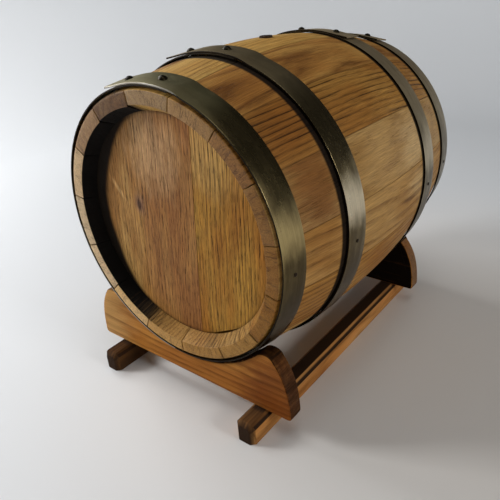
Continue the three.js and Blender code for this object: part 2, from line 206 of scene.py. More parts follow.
def paint(thing, grain, trim=None, shade_and_soot=None):
    """Stores the wood's own coordinates (along, across, depth, in mm) on every vertex,
    and next to them the distance to a joint in mm, the share of end grain and the shade_and_soot darkening,
    which is partly soot and partly painted shade."""
    mesh = thing.data
    wood_place = mesh.attributes.new("grain", "FLOAT_VECTOR", "POINT")
    finish = mesh.attributes.new("trim", "FLOAT_VECTOR", "POINT")
    for i, vertex in enumerate(mesh.vertices):
        along, across, depth, direction = grain(vertex.co)
        wood_place.data[i].vector = (along / MM, across / MM, depth / MM)
        joint = trim(vertex.co) / MM if trim else 50.0
        ends = abs(vertex.normal.dot(direction))
        finish.data[i].vector = (joint, ends, shade_and_soot(vertex.co, vertex.normal) if shade_and_soot else 0.0)


# ---- material nodes ----
class Shader:
    """A small helper that adds nodes and joins them up."""

    def __init__(self, name):
        self.material = bpy.data.materials.new(name)
        self.material.use_nodes = True
        self.tree = self.material.node_tree
        self.tree.nodes.clear()
        output = self.tree.nodes.new("ShaderNodeOutputMaterial")
        self.shader = self.tree.nodes.new("ShaderNodeBsdfPrincipled")
        self.tree.links.new(self.shader.outputs[0], output.inputs[0])

    def put(self, socket, value):
        if isinstance(value, bpy.types.NodeSocket):
            self.tree.links.new(value, socket)
        elif isinstance(value, tuple) and len(value) == 3 and socket.type == "RGBA":
            socket.default_value = (*value, 1)
        else:
            socket.default_value = value

    def fill(self, node, **values):
        for key, value in values.items():
            self.put(node.inputs[key.replace("_", " ")], value)

    def node(self, kind, *values, **settings):
        made = self.tree.nodes.new("ShaderNode" + kind)
        for key, value in settings.items():
            setattr(made, key, value)
        for socket, value in zip(made.inputs, values):
            self.put(socket, value)
        return made

    def calc(self, operation, *values):
        return self.node("Math", *values, operation=operation).outputs[0]

    def plus(self, a, b):
        return self.calc("ADD", a, b)

    def minus(self, a, b):
        return self.calc("SUBTRACT", a, b)

    def times(self, a, b):
        return self.calc("MULTIPLY", a, b)

    def vector(self, operation, *values):
        return self.node("VectorMath", *values, operation=operation).outputs[0]

    def wander(self, value, reach):
        """An offset of up to half the reach either way, from noise of 0 to 1."""
        return self.times(self.minus(value, 0.5), reach)

    def attribute(self, name):
        return self.node("Attribute", attribute_name=name).outputs["Vector"]

    def own_place(self):
        return self.node("TexCoord").outputs["Object"]

    def split(self, vector):
        return self.node("SeparateXYZ", vector).outputs

    def noise(self, vector, scale, detail=2.0, roughness=0.5):
        made = self.node("TexNoise")
        place = self.vector("MULTIPLY", vector, scale)
        self.fill(made, Vector=place, Scale=1.0, Detail=detail, Roughness=roughness)
        return made.outputs["Fac"]

    def span(self, value, low, high, to_low=0.0, to_high=1.0):
        """Maps low..high onto to_low..to_high, held at the ends, with an S curve."""
        made = self.node("MapRange", interpolation_type="SMOOTHSTEP")
        self.fill(made, From_Min=low, From_Max=high, To_Min=to_low, To_Max=to_high, Value=value)
        return made.outputs[0]

    def blend(self, factor, a, b, kind="MIX"):
        made = self.node("Mix", data_type="RGBA", blend_type=kind)
        self.put(made.inputs["Factor"], factor)
        self.put(made.inputs[6], a)
        self.put(made.inputs[7], b)
        return made.outputs[2]

    def shaded(self, colour, share):
        """A colour made lighter or darker by a share of it."""
        grey = self.node("CombineColor", share, share, share).outputs[0]
        return self.blend(1.0, colour, grey, "MULTIPLY")

    def ramp(self, value, stops):
        """A grey for the value, from (place, grey) stops."""
        made = self.node("ValToRGB")
        elements = made.color_ramp.elements
        while len(elements) < len(stops):
            elements.new(0.5)
        for element, (place, shade) in zip(elements, stops):
            element.position = place
            element.color = (shade, shade, shade, 1)
        self.put(made.inputs[0], value)
        return made.outputs[0]

    def finish(self, colour, roughness, height, depth=0.2 * MM, **settings):
        self.fill(self.shader, Base_Color=colour, Roughness=roughness, **settings)
        bump = self.node("Bump")
        self.fill(bump, Height=height, Distance=depth, Strength=0.8)
        self.fill(self.shader, Normal=bump.outputs[0])
        return self.material


def srgb(*channels):
    """Linear colour from display values of 0 to 255."""
    shares = [c / 255 for c in channels]
    return tuple(s / 12.92 if s <= 0.04045 else ((s + 0.055) / 1.055) ** 2.4 for s in shares)


# the colour of dirt in the joints, also used for painted shade
DIRT_AND_SHADE = srgb(10, 6, 3)


def wood(name, light, warm, dark, pith=(0, 20), drift=(0, 0), period=5.0, lines=0.6, crisp=0.5,
         pores=0.5, pore_size=(0.07, 1.1), seed=0.0, rough=0.5, end_tone=srgb(150, 122, 92), patches=(),
         wave=2.0, fibre=0.18, joint=0.35, shadow_bands=(), dirt=DIRT_AND_SHADE, gloss=0.15, ribs=0.0):
    """Ring-porous wood, solid through the piece. pith is where the rings' centre lies
    (across, depth, in mm), drift how it moves per mm along the grain, period the rings'
    width. patches are ovals of another colour ((along, across), their reach, degrees
    turned, colour, strength), shadow_bands are strips of painted shadow beside a hoop (station, from, to).
    ribs breaks the shade_and_soot darkening up into stripes. The scales of the noises are per mm."""
    s = Shader(name)
    place = s.attribute("grain")
    trim = s.split(s.attribute("trim"))
    shifted = s.vector("ADD", place, (seed * 37.0, seed * 11.0, seed * 5.0))
    along, across, depth = s.split(place)[:3]

    # annual rings
    sway = s.noise(shifted, (0.007, 0.03, 0.03), detail=2)
    sway = s.wander(sway, wave * 6)
    side = s.minus(across, s.calc("MULTIPLY_ADD", along, drift[0], float(pith[0])))
    down = s.minus(depth, s.calc("MULTIPLY_ADD", along, drift[1], float(pith[1])))
    radius = s.calc("SQRT", s.plus(s.times(side, side), s.times(down, down)))
    radius = s.plus(radius, sway)
    jitter = s.noise(shifted, (0.03, 0.22, 0.22), detail=3)
    radius = s.plus(radius, s.wander(jitter, 0.35 * period))
    turn = s.calc("FRACT", s.calc("DIVIDE", radius, period))
    narrow = 0.22 - 0.14 * crisp
    stops = [(0.0, 1.0), (narrow, 0.62), (narrow * 2.4, 0.2), (0.6, 0.0)]
    stops += [(1 - narrow * 1.1, 0.08), (1 - narrow * 0.3, 0.75), (1.0, 1.0)]
    ring = s.ramp(turn, stops)
    fade = s.noise(shifted, (0.014, 0.1, 0.1), detail=3)
    ring = s.times(ring, s.span(fade, 0.34, 0.62, 0.3, 1.0))

    # pores and fibres
    pore = s.noise(shifted, (pore_size[0], pore_size[1], pore_size[1]), detail=2, roughness=0.6)
    pore = s.span(pore, 0.55, 0.63)
    pore = s.times(pore, s.calc("MULTIPLY_ADD", ring, 0.7, 0.45))
    hair = s.noise(shifted, (0.06, 2.6, 2.6), detail=2)
    strand = s.noise(shifted, (0.025, 0.8, 0.8), detail=3, roughness=0.65)

    # colour
    tone = s.noise(shifted, (0.011, 0.04, 0.04), detail=3)
    colour = s.blend(s.span(tone, 0.36, 0.64), light, warm)
    for at, reach, angle, shade, strength in patches:
        turned = s.node("VectorRotate", rotation_type="Z_AXIS")
        s.fill(turned, Vector=s.vector("SUBTRACT", place, (*at, 0.0)), Angle=radians(angle))
        local = s.vector("DIVIDE", turned.outputs[0], (*reach, 40.0))
        ragged = s.noise(shifted, (0.05, 0.16, 0.16), detail=3)
        length = s.node("VectorMath", local, operation="LENGTH").outputs["Value"]
        away = s.plus(length, s.minus(ragged, 0.5))
        colour = s.blend(s.span(away, 0.2, 1.15, strength, 0.0), colour, shade)
    colour = s.blend(s.times(ring, lines), colour, dark)
    colour = s.blend(s.times(pore, pores), colour, tuple(c * 0.3 for c in dark))
    fine = s.span(hair, 0.3, 0.7, 1 - fibre, 1 + fibre)
    coarse = s.span(strand, 0.3, 0.7, 1 - fibre, 1 + fibre)
    colour = s.shaded(colour, s.times(fine, coarse))

    # end grain is duller and split by small checks; joints and corners hold dirt. The shade_and_soot
    # darkening is partly soot and partly painted shade, and the strips beside the hoops are painted shadow.
    ends = s.span(trim[1], 0.6, 0.97)
    checks = s.noise(shifted, (0.0, 0.45, 0.05), detail=3, roughness=0.7)
    checks = s.span(s.calc("ABSOLUTE", s.minus(checks, 0.5)), 0.0, 0.04, 0.55, 0.0)
    checks = s.times(checks, s.span(s.noise(shifted, (0.0, 0.16, 0.12), detail=2), 0.44, 0.58))
    mealy = s.span(s.noise(shifted, (0.5, 0.9, 0.9), detail=4, roughness=0.7), 0.35, 0.65, 0.8, 1.12)
    dull = s.shaded(s.blend(0.78, colour, end_tone), mealy)
    dull = s.blend(checks, dull, tuple(c * 0.35 for c in dark))
    colour = s.blend(ends, colour, dull)
    grime_and_shade = s.span(trim[0], 0.05, 0.7, joint, 0.0)
    grime_and_shade = s.calc("MAXIMUM", grime_and_shade, s.times(s.span(trim[0], 0.1, 0.75, 0.9, 0.0), ends))
    shade_and_soot = trim[2]
    if ribs:
        stripe = s.noise(shifted, (0.015, 0.42, 0.03), detail=3, roughness=0.6)
        shade_and_soot = s.span(s.calc("MULTIPLY_ADD", s.minus(stripe, 0.5), ribs, shade_and_soot), 0.25, 0.8)
    grime_and_shade = s.calc("MAXIMUM", grime_and_shade, shade_and_soot)
    # painted shadow cast by each hoop on the staves in front of it
    for station, start, end in shadow_bands:
        way = s.minus(along, station)
        shadow_band = s.times(s.span(way, start - 2.5, start), s.span(way, end, end + 0.5, 1.0, 0.0))
        grime_and_shade = s.calc("MAXIMUM", grime_and_shade, s.times(shadow_band, 0.97))
    colour = s.blend(grime_and_shade, colour, dirt)

    height = s.minus(s.times(hair, 0.25), s.calc("MULTIPLY_ADD", ring, 0.3, pore))
    height = s.minus(height, s.times(s.times(checks, ends), 2.0))
    shine = s.calc("MULTIPLY_ADD", pore, 0.2, s.span(tone, 0.3, 0.7, rough - 0.05, rough + 0.07))
    shine = s.calc("MULTIPLY_ADD", grime_and_shade, 0.25, shine)
    return s.finish(colour, shine, height, 0.25 * MM, Specular_IOR_Level=gloss)


HIGHLIGHT_CENTRE, HIGHLIGHT_REACH = 79, 12  # degrees from the top, where the hoops carry a painted highlight, the pale floor's reflection
DEGREE = 2.2  # mm of strip to a degree


def metal(name, body, tarnish, highlight_colour, rough=0.28, painted_highlight=0.0, dull=(14, 34), matte=0.0,
          dust_and_sheen=srgb(156, 140, 108)):
    """Thin rolled strip with an aged bronze tone, blotched and brushed along its length.
    It carries a painted highlight on one side, and where matte is set it is paler on top,
    partly dust and partly painted sheen, fading between the two angles of dull, and darker underneath."""
    s = Shader(name)
    place = s.attribute("grain")
    cloud = s.noise(place, (0.02, 0.06, 0.06), detail=4, roughness=0.6)
    spots = s.noise(place, (0.25, 0.3, 0.3), detail=3, roughness=0.7)
    brush = s.noise(place, (0.02, 2.0, 2.0), detail=2)
    colour = s.blend(s.span(cloud, 0.38, 0.62), body, tarnish)
    along = s.split(place)[0]
    away = s.calc("ABSOLUTE", s.minus(along, HIGHLIGHT_CENTRE * DEGREE))
    ragged = s.wander(cloud, 34.0)
    away = s.plus(away, ragged)
    # painted highlight: the reflection of the pale floor, painted into the colour
    highlit = s.span(away, 4.0, HIGHLIGHT_REACH * DEGREE, painted_highlight, 0.0)
    colour = s.blend(highlit, colour, highlight_colour)
    colour = s.blend(s.span(spots, 0.62, 0.8, 0.0, 0.4), colour, tuple(c * 0.45 for c in tarnish))
    streak = s.span(brush, 0.3, 0.7, 0.86, 1.12)
    colour = s.shaded(colour, streak)
    shine = s.span(cloud, 0.3, 0.7, rough - 0.05, rough + 0.08)
    shine = s.plus(shine, s.span(spots, 0.5, 0.8, 0.0, 0.1))
    turned = s.calc("ABSOLUTE", along)
    if matte:
        upward = s.span(turned, dull[0] * DEGREE, dull[1] * DEGREE, 1.0, 0.0)
        shine = s.calc("MULTIPLY_ADD", upward, matte, shine)
        # paler on top: dust, and painted sheen of the bright room above
        colour = s.blend(s.times(upward, s.span(cloud, 0.35, 0.6, 0.85, 0.5)), colour, dust_and_sheen)
        below = s.span(s.plus(turned, ragged), 94 * DEGREE, 112 * DEGREE, 0.0, 0.6)
        colour = s.blend(below, colour, tuple(c * 0.5 for c in tarnish))
    height = s.plus(s.times(brush, 0.25), s.times(spots, 0.4))
    return s.finish(colour, shine, height, 0.04 * MM, Metallic=1.0)


# ---- staves ----
def outer_radius(station):
    t = station / HALF_LENGTH
    return BILGE_RADIUS - (BILGE_RADIUS - END_RADIUS) * t * t


def inner_radius(station):
    t = station / HEAD_BACK
    bilge = BILGE_RADIUS - WALL
    return max(bilge - (bilge - INSIDE_END) * t * t, INSIDE_END)


def stave_outline(inset, bevel, lip):
    """Closed outline in (radius, station), drawn in by inset along the joints. bevel is
    the rounding of the rim's outer corner, lip how far its inner corner stands in."""
    end = HALF_LENGTH - inset
    outside = 56
    corners = []
    for i in range(outside + 1):
        station = mix(-end, end, i / outside)
        round_off = bevel if i in (0, outside) else 0
        corners.append((outer_radius(station) - inset, station, round_off))
    croze = HEAD_FACE - CROZE_WIDTH
    half = [
        (CHIME_LIP - lip + inset, end, 0.7 * MM),
        (CHIME_ROOT + inset, HEAD_FACE, 0.3 * MM),
        (CROZE_RADIUS, HEAD_FACE, 0),
        (CROZE_RADIUS, croze, 0),
    ]
    corners += half
    inside = 12
    for i in range(inside + 1):
        station = mix(croze, -croze, i / inside)
        corners.append((inner_radius(station), station, 0))
    corners += [(radius, -station, round_off) for radius, station, round_off in reversed(half)]
    return rounded(corners)


def stave_span(name):
    points = [around(p)[0] for p in corners_of(name)]
    middle = atan2(sum(sin(a) for a in points), sum(cos(a) for a in points))
    turns = [remainder(a - middle, tau) for a in points]
    return middle + min(turns), middle + max(turns)


RIM_GAP, BODY_GAP = 0.32 * MM, -0.13 * MM  # against the frame's own gap of 0.3 mm
CRACK = {"stave_03": (90 * MM, 127 * MM, 0.55 * MM)}  # a joint that has opened: from, to, width


def joint_gap(station):
    return mix(BODY_GAP, RIM_GAP, smooth((abs(station) - HALF_LENGTH) / (3 * MM) + 1))


def crack_gap(station, crack):
    if not crack:
        return 0.0
    start, end, width = crack
    t = (station - start) / (end - start)
    return width * sin(pi * t) if 0 < t < 1 else 0.0


# on the left the rim is worn: its outer corner is rounder, its inner edge thicker
WORN_BEVEL, WORN_LIP = 2.6 * MM, 2.0 * MM
PLAIN_BEVEL = 0.9 * MM
RIM_WEAR = {"stave_11": 0.55, "stave_12": 0.85, "stave_13": 1.0, "stave_14": 1.0, "stave_15": 0.6}


def stave_mesh(start, end, crack=None, wear=0.0):
    rim = [(0.0, 1.0), (0.12, 0.5), (0.4, 0.2), (1.0, 0.0)]  # (way in, depth) of the arris
    step = 1.6 * ARRIS / BILGE_RADIUS / (end - start)
    columns = [(way * step, ARRIS * depth) for way, depth in rim]
    inner = 10
    for i in range(1, inner):
        columns.append((mix(step, 1 - step, i / inner), 0.0))
    columns += [(1 - way * step, ARRIS * depth) for way, depth in reversed(rim)]
    loops = []
    for share, inset in columns:
        loop = []
        for p in stave_outline(inset, mix(PLAIN_BEVEL, WORN_BEVEL, wear), WORN_LIP * wear):
            gap = joint_gap(p.y) / BILGE_RADIUS
            late = crack_gap(p.y, crack) / BILGE_RADIUS
            angle = mix(start + gap, end - gap - late, share)
            loop.append(on_axis(angle, p.y, p.x))
        loops.append(loop)
    return loft(loops)


# painted shade inside the chime, by degrees from the top: black on the left, where the chime's wall lies in
# shadow
CHIME_SHADE_ARC = [(-178, 0.0), (-168, 0.35), (-159, 0.5), (-157, 0.68), (-148, 0.78), (-134, 0.985), (-14, 0.985),
            (4, 0.0), (80, 0.1), (110, 0.42), (160, 0.45), (176, 0.0)]


def chime_shade_at(angle):
    """How dark the painted shade inside the chime is, by the angle from the top of the front head."""
    for (a, before), (b, after) in zip(CHIME_SHADE_ARC, CHIME_SHADE_ARC[1:]):
        if a <= angle <= b:
            return mix(before, after, smooth((angle - a) / (b - a)))
    return 0.0


def chime_shade(point, normal):
    """Painted shade on the rim's worn corner at the left and on the bevel inside the chime."""
    angle, station, radius = around(point)
    if abs(station) > HALF_LENGTH - WORN_BEVEL and outer_radius(station) - radius < WORN_BEVEL * 0.8:
        left = smooth((138 + degrees(angle)) / 20) * smooth(-degrees(angle) / 14)
        return 0.62 * left * (1 - smooth((abs(normal.y) - 0.75) / 0.2))
    inside = radius < CHIME_LIP + 0.3 * MM and abs(station) > HEAD_FACE - 0.5 * MM
    if not inside or abs(normal.y) > 0.85:
        return 0.0
    return chime_shade_at(degrees(angle) * (1 if station < 0 else -1))


def stave_grain(start, end):
    middle = (start + end) / 2

    def grain(point):
        angle, station, radius = around(point)
        turn = remainder(angle - middle, tau)
        skin = outer_radius(station)
        return station, turn * skin, skin - radius, Vector((0, 1, 0))

    def trim(point):
        angle, _, radius = around(point)
        turn = remainder(angle - middle, tau)
        return max((end - start) / 2 - abs(turn), 0) * radius

    return grain, trim


HONEY = srgb(188, 142, 74)
TAN = srgb(200, 158, 94)
RUSSET = srgb(164, 112, 54)
UMBER = srgb(88, 48, 14)
AMBER = srgb(140, 84, 30)  # darker and more orange near the front end

# how each stave was sawn: the ones by name were chosen, the rest are drawn by lot
STAVE_LOOKS = {
    "stave_01": dict(
        light=srgb(204, 162, 90), warm=srgb(194, 148, 76), dark=srgb(118, 76, 30), pith=(-30, 26),
        drift=(0.02, 0.05), period=5.6, lines=0.5, seed=1.0, crisp=0.3, pores=0.35,
    ),
    "stave_02": dict(
        light=srgb(190, 142, 74), warm=srgb(172, 120, 58), dark=srgb(92, 50, 18), pith=(4, 24),
        drift=(0.02, 0.07), period=8.0, lines=0.75, seed=2.0, wave=3.0, crisp=0.3, pores=0.25,
        patches=[((-106, 4), (40, 60), 0, srgb(150, 94, 38), 0.5)],
    ),
    "stave_03": dict(
        light=srgb(176, 128, 62), warm=srgb(160, 108, 48), dark=srgb(44, 20, 4), pith=(66, 34),
        drift=(0.03, 0.0), period=4.6, lines=1.0, seed=3.0, wave=1.2, crisp=0.85, pores=0.35,
        patches=[((-106, 0), (38, 60), 0, AMBER, 0.6)],
    ),
    "stave_04": dict(
        light=srgb(190, 150, 92), warm=srgb(178, 136, 76), dark=srgb(116, 74, 32), pith=(-8, 60),
        drift=(0.04, 0.12), period=9.0, lines=0.4, seed=4.0, wave=4.0, crisp=0.2, pores=0.3,
        fibre=0.14,
        patches=[((-108, -6), (34, 60), 0, srgb(126, 74, 28), 0.8),
                 ((48, 4), (40, 30), 0, srgb(220, 186, 132), 0.7)],
    ),
    "stave_05": dict(
        light=srgb(194, 150, 86), warm=srgb(178, 130, 66), dark=srgb(92, 50, 18), pith=(-52, 30),
        drift=(0.05, 0.03), period=8.5, lines=0.55, seed=5.0, crisp=0.3, pores=0.3, fibre=0.15,
        patches=[((22, 2), (26, 3.2), -6, srgb(96, 56, 26), 0.7),
                 ((48, -8), (36, 12), 0, srgb(216, 180, 124), 0.7),
                 ((-108, -6), (32, 60), 0, srgb(160, 106, 46), 0.5)],
    ),
    "stave_06": dict(
        light=srgb(184, 134, 62), warm=srgb(164, 108, 42), dark=srgb(84, 44, 14), pith=(40, 22),
        drift=(-0.03, 0.05), period=5.6, lines=0.7, seed=6.0, pores=0.3,
        patches=[((-106, 0), (40, 60), 0, AMBER, 0.4)],
    ),
}

# the sawn ends on the rims, stave by stave: golden below, greyer on the left, dark at the lap, where the
# last stave's end is painted shadow of the hoop's lap
END_TONES = [
    srgb(150, 122, 92), srgb(156, 120, 78), srgb(140, 98, 56), srgb(128, 84, 38), srgb(132, 86, 34),
    srgb(138, 92, 36), srgb(166, 120, 56), srgb(172, 124, 60), srgb(200, 152, 86), srgb(228, 188, 128),
    srgb(218, 188, 146), srgb(212, 186, 148), srgb(216, 184, 142), srgb(158, 124, 92), srgb(92, 66, 46),
]


def hoop_shadow_bands():
    """Painted shadow on the staves beside each hoop, wide where the strip stands off them."""
    shadow_bands = []
    for node in HOOPS:
        low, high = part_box(node)
        shade = -3.6 if node.startswith("front") else -2.0
        for edge, start, end in ((low.y, shade, 4.0), (high.y, -4.0, 0.3)):
            if abs(edge - MIDDLE_Y) < HALF_LENGTH - 2 * MM:
                shadow_bands.append(((edge - MIDDLE_Y) / MM, start, end))
    return shadow_bands


def drawn_look(index):
    draw = random.Random(100 + index)
    pale, ruddy = draw.random(), draw.random()
    return dict(
        light=tuple(mix(a, b, pale) for a, b in zip(HONEY, TAN)),
        warm=tuple(mix(a, b, ruddy) for a, b in zip(RUSSET, HONEY)),
        dark=UMBER,
        pith=(draw.uniform(-60, 60), draw.uniform(18, 45)),
        drift=(draw.uniform(-0.04, 0.04), draw.uniform(-0.08, 0.08)),
        period=draw.uniform(4.2, 7.5),
        lines=draw.uniform(0.45, 0.85),
        seed=float(index),
    )


def bore(thing, shape):
    """Cuts a closed shape out of a piece."""
    cutter = skinned("cutter", *shape)
    outward(cutter.data)
    modifier = thing.modifiers.new("bore", "BOOLEAN")
    modifier.operation = "DIFFERENCE"
    modifier.solver = "EXACT"
    modifier.object = cutter
    bpy.context.view_layer.update()
    evaluated = thing.evaluated_get(bpy.context.evaluated_depsgraph_get())
    cut = bpy.data.meshes.new_from_object(evaluated)
    thing.modifiers.clear()
    thing.data = cut
    bpy.data.objects.remove(cutter)


def ring(centre, radius, height, count):
    loop = []
    for i in range(count):
        a = tau * i / count
        loop.append(centre + Vector((radius * cos(a), radius * sin(a), height)))
    return loop


def lathe(centre, profile, count, turn=Matrix.Identity(3), wobble=0.0, seed=0):
    """A solid turned from (radius, height) pairs, pointing along the turned +Z."""
    loops = []
    for radius, height in profile:
        loop = []
        for i in range(count):
            a = tau * i / count
            way = Vector((cos(a), sin(a), 0))
            uneven = 1 + wobble * noise.noise(way * 1.3 + Vector((seed, height * 400, 0)))
            loop.append(centre + turn @ (way * radius * uneven + Vector((0, 0, height))))
        loops.append(loop)
    return loft(loops)


BUNG_LOW, BUNG_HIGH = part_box("bung")
BUNG_CENTRE = Vector(((BUNG_LOW.x + BUNG_HIGH.x) / 2, (BUNG_LOW.y + BUNG_HIGH.y) / 2, 0))
BUNG_TOP = (BUNG_HIGH.x - BUNG_LOW.x) / 2
BUNG_TIP = BUNG_TOP - 1.0 * MM
BUNG_GAP = 0.3 * MM


def bore_bung_hole(thing):
    low, high = BUNG_LOW.z - 8 * MM, BUNG_HIGH.z + 4 * MM
    slope = (BUNG_TOP - BUNG_TIP) / (BUNG_HIGH.z - BUNG_LOW.z)
    wide = BUNG_TOP + BUNG_GAP + slope * (high - BUNG_HIGH.z)
    narrow = BUNG_TIP + BUNG_GAP - slope * (BUNG_LOW.z - low)
    bore(thing, loft([ring(BUNG_CENTRE, narrow, low, 64), ring(BUNG_CENTRE, wide, high, 64)]))


def add_staves():
    shadow_bands = hoop_shadow_bands()
    for i, name in enumerate(STAVES):
        start, end = stave_span(name)
        look = STAVE_LOOKS.get(name) or drawn_look(i)
        shape = stave_mesh(start, end, CRACK.get(name), RIM_WEAR.get(name, 0.0))
        material = wood(f"oak_{name}", shadow_bands=shadow_bands, end_tone=END_TONES[i], ribs=0.65, **look)
        made = piece(f"{name}_board", shape, material, "barrel", name)
        if name == STAVES[0]:
            bore_bung_hole(made)
        grain, trim = stave_grain(start, end)
        paint(made, grain, trim, chime_shade)


# ---- heads ----
def head_point(end, across, height, station):
    """A point of a head: the boards' own axes lean by the tilt, and the rear head is
    the front one turned round the vertical."""
    x = across * cos(HEAD_TILT) + height * sin(HEAD_TILT)
    z = -across * sin(HEAD_TILT) + height * cos(HEAD_TILT)
    return Vector((AXIS_X - end * x, MIDDLE_Y + end * station, AXIS_Z + z))


def head_radius(across, height):
    """The disc, a little short where its lower right edge has shrunk out of the croze."""
    angle = degrees(atan2(across, -height))
    short = smooth(1 - abs(angle - SHRUNK_AT) / SHRUNK_SPAN)
    return HEAD_RADIUS - short * SHRUNK_BY


def head_edge(across, sign):
    """The height of the disc's edge, closed in on, since its radius depends on it."""
    least = 3 * MM
    height = sign * sqrt(max(HEAD_RADIUS ** 2 - across ** 2, 0))
    for _ in range(6):
        radius = head_radius(across, height)
        height = sign * sqrt(max(radius ** 2 - across ** 2, least ** 2))
    return height


def head_board(node, end, left, right, material):
    columns, rows = 30, 64
    groove = 0.25 * MM
    recess = 0.3 * MM
    layers = []
    places = [left, left + groove * 0.4, left + groove]
    places += [mix(left + groove, right - groove, i / columns) for i in range(1, columns)]
    places += [right - groove, right - groove * 0.4, right]
    for x in places:
        low, high = head_edge(x, -1), head_edge(x, 1)
        dip = groove * (1 - smooth(min(x - left, right - x) / groove))
        front, back = [], []
        for j in range(rows + 1):
            z = mix(low, high, j / rows)
            uneven = 0.25 * MM * noise.noise(Vector((x * 22, z * 9, 3.1 + end)))
            front.append(head_point(end, x, z, HEAD_FACE - recess - dip + uneven))
            back.append(head_point(end, x, z, HEAD_BACK))
        layers.append(front + back[::-1])
    made = piece(f"{node}_plank", loft(layers), material, "barrel", node)

    def grain(point):
        x = -end * (point.x - AXIS_X)
        z = point.z - AXIS_Z
        across = x * cos(HEAD_TILT) - z * sin(HEAD_TILT)
        along = x * sin(HEAD_TILT) + z * cos(HEAD_TILT)
        upward = Vector((sin(HEAD_TILT) * -end, 0, cos(HEAD_TILT)))
        return along, across, HEAD_FACE - abs(point.y - MIDDLE_Y), upward

    def trim(point):
        across = grain(point)[1]
        return max(min(across - left, right - across), 0)

    def shade_and_soot(point, normal):
        """Painted shadow where the chime overhangs the board: black, fading within a finger's width."""
        angle, _, radius = around(point)
        angle = -end * degrees(angle)
        reach = 13 * MM * smooth((angle + 152) / 50) * smooth(-(angle + 8) / 55) + 0.4 * MM
        return 0.98 * smooth((radius - CHIME_ROOT + reach + 2.5 * MM) / (5.5 * MM))

    paint(made, grain, trim, shade_and_soot)


def add_heads():
    oak = dict(pores=1.0, pore_size=(0.1, 1.8), joint=0.1, crisp=0.8, fibre=0.24)
    pair = dict(oak, pith=(-160, 60), drift=(0.05, 0.0), period=3.6, wave=2.2)
    looks = [
        dict(pair, light=srgb(182, 138, 74), warm=srgb(162, 112, 54), dark=srgb(88, 50, 18), lines=0.4),
        dict(pair, light=srgb(170, 120, 60), warm=srgb(150, 98, 48), dark=srgb(84, 44, 18), lines=0.45),
        dict(oak, light=srgb(180, 132, 48), warm=srgb(164, 108, 34), dark=srgb(80, 44, 8), lines=0.65,
             pith=(190, 70), drift=(-0.02, 0.0), period=3.7, wave=1.6),
    ]
    knot = [
        ((-8, -41), (40, 9), 0, srgb(178, 134, 70), 0.35),
        ((62, -20), (46, 36), 0, srgb(204, 164, 116), 0.6),
        ((19, -66), (15, 2.6), 42, srgb(220, 176, 112), 0.55),
        ((12, -40), (13, 9), 0, srgb(148, 108, 80), 0.7),
        ((11, -41), (6, 4), 0, srgb(70, 42, 30), 0.85),
    ]
    pale_top = [((76, 40), (44, 40), 0, srgb(204, 164, 98), 0.55)]
    edge = 100.2 * MM
    limits = [-edge, *HEAD_SEAMS, edge]
    gap = 0.015 * MM
    for side, end in ENDS.items():
        for i in range(3):
            look = dict(looks[i])
            look["seed"] = 21.0 + i + (5 if end > 0 else 0)
            if end < 0:
                look["patches"] = knot if i < 2 else pale_top
            name = f"{side}_head_board_{i + 1}"
            left = limits[i] + gap
            right = limits[i + 1] - gap
            material = wood(f"oak_{name}", **look)
            head_board(name, end, left, right, material)


# ---- hoops ----
# each strip: body, tarnish, and the colour of its painted highlight
BRONZE = (srgb(122, 108, 74), srgb(98, 85, 58), srgb(196, 172, 118))
STEEL = (srgb(140, 124, 88), srgb(106, 92, 64), srgb(236, 218, 184))
REAR = dict(rough=0.31, dull=(50, 80), matte=0.27, dust_and_sheen=srgb(190, 172, 140))
HOOP_METALS = {
    "front_head_hoop": metal("front_head_metal", *BRONZE, painted_highlight=0.9, dull=(22, 38), matte=0.17,
                             dust_and_sheen=srgb(140, 134, 98)),
    "front_quarter_hoop": metal("front_quarter_metal", *STEEL, painted_highlight=1.0, dull=(26, 48), matte=0.2),
    "rear_quarter_hoop": metal("rear_quarter_metal", *STEEL, painted_highlight=0.6, **REAR),
    "rear_head_hoop": metal("rear_head_metal", *STEEL, painted_highlight=0.1, **REAR),
}
# the cut edges of the strips: dark as painted shade, with a painted highlight where the front hoop is
# lapped and along its forward edge on the left
EDGE_SHADE_METAL = metal("hoop_edge", srgb(40, 32, 20), srgb(26, 20, 13), srgb(60, 50, 36), rough=0.5)
EDGE_HIGHLIGHT_METAL = metal("edge_highlight", srgb(150, 146, 138), srgb(122, 116, 106), srgb(176, 170, 160), rough=0.45)


def lap_offset(angle):
    drop = smooth((angle - LAP_INNER - 1) / (LAP_DROP - 1))
    lift = max(0.0, 1 - (angle - LAP_OUTER) / LAP_LIFT_SPAN)
    return LAYER * (1 - drop) + LAP_LIFT * lift * lift


